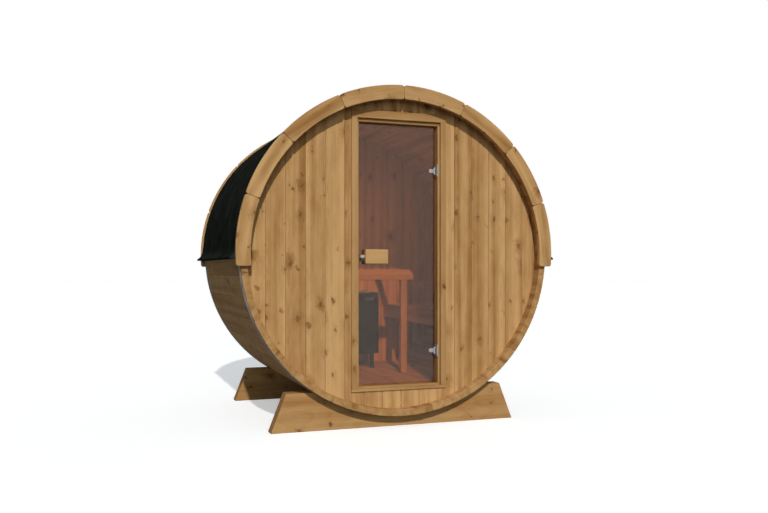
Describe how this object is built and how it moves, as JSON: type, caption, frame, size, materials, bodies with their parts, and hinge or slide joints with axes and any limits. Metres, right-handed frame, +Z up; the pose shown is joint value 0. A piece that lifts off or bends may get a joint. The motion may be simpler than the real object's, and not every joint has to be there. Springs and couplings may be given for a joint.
{
  "type": "barrel sauna",
  "caption": "Round wooden sauna lying on cradles like a barrel, with a hinged glass door, benches, a heater behind a guard rail and a felt-covered roof.",
  "frame": {"origin": "on the ground, under the middle of the barrel", "axes": "+X to the right seen from the door, +Y from the door to the back wall, along the barrel, +Z up"},
  "size_m": [2.086, 1.596, 2.073],
  "materials": {
    "stave_wood": "matte",
    "wall_wood": "satin",
    "frame_wood": "satin",
    "handle_wood": "satin",
    "trim_wood": "satin",
    "cradle_wood": "matte",
    "interior_wood": "satin",
    "bronze_glass": "gloss",
    "fitting_metal": "satin",
    "band_steel": "satin",
    "felt": "matte",
    "drip_board": "matte",
    "heater_metal": "satin",
    "stone": "matte"
  },
  "bodies": {
    "cabin": {"staves_bottom": "stave_wood", "staves_right_lower": "stave_wood", "staves_right_middle": "stave_wood", "staves_right_upper": "stave_wood", "staves_top": "stave_wood", "staves_left_upper": "stave_wood", "staves_left_middle": "stave_wood", "staves_left_lower": "stave_wood", "front_wall_left": "wall_wood", "front_wall_right": "wall_wood", "front_wall_over_door": "wall_wood", "front_wall_under_door": "wall_wood", "back_wall": "wall_wood", "door_jamb_left": "frame_wood", "door_jamb_right": "frame_wood", "door_head": "frame_wood", "door_sill": "frame_wood", "hinge_plates": "fitting_metal", "front_trim_left": "trim_wood", "front_trim_right": "trim_wood", "back_trim_left": "trim_wood", "back_trim_right": "trim_wood", "roof_felt": "felt", "drip_edges": "drip_board", "band_front": "band_steel", "band_rear": "band_steel", "cradle_front": "cradle_wood", "cradle_rear": "cradle_wood", "floor_deck": "interior_wood", "floor_bearers": "interior_wood", "bench_seat_left": "interior_wood", "bench_seat_right": "interior_wood", "bench_rail_left": "interior_wood", "bench_rail_right": "interior_wood", "bench_bearers": "interior_wood", "heater_body": "heater_metal", "heater_stones": "stone", "heater_legs": "heater_metal", "guard_rails": "interior_wood", "guard_posts": "interior_wood"},
    "door": {"door_glass": "bronze_glass", "door_handle_outside": "handle_wood", "door_handle_inside": "handle_wood", "door_catch": "fitting_metal", "hinge_clamps": "fitting_metal"}
  },
  "joints": [
    {"name": "door_hinge", "type": "hinge", "parent": "cabin", "child": "door", "pos_m": [0.247, -0.674, 1], "axis": [0, 0, 1], "range_deg": [0, 95]}
  ]
}
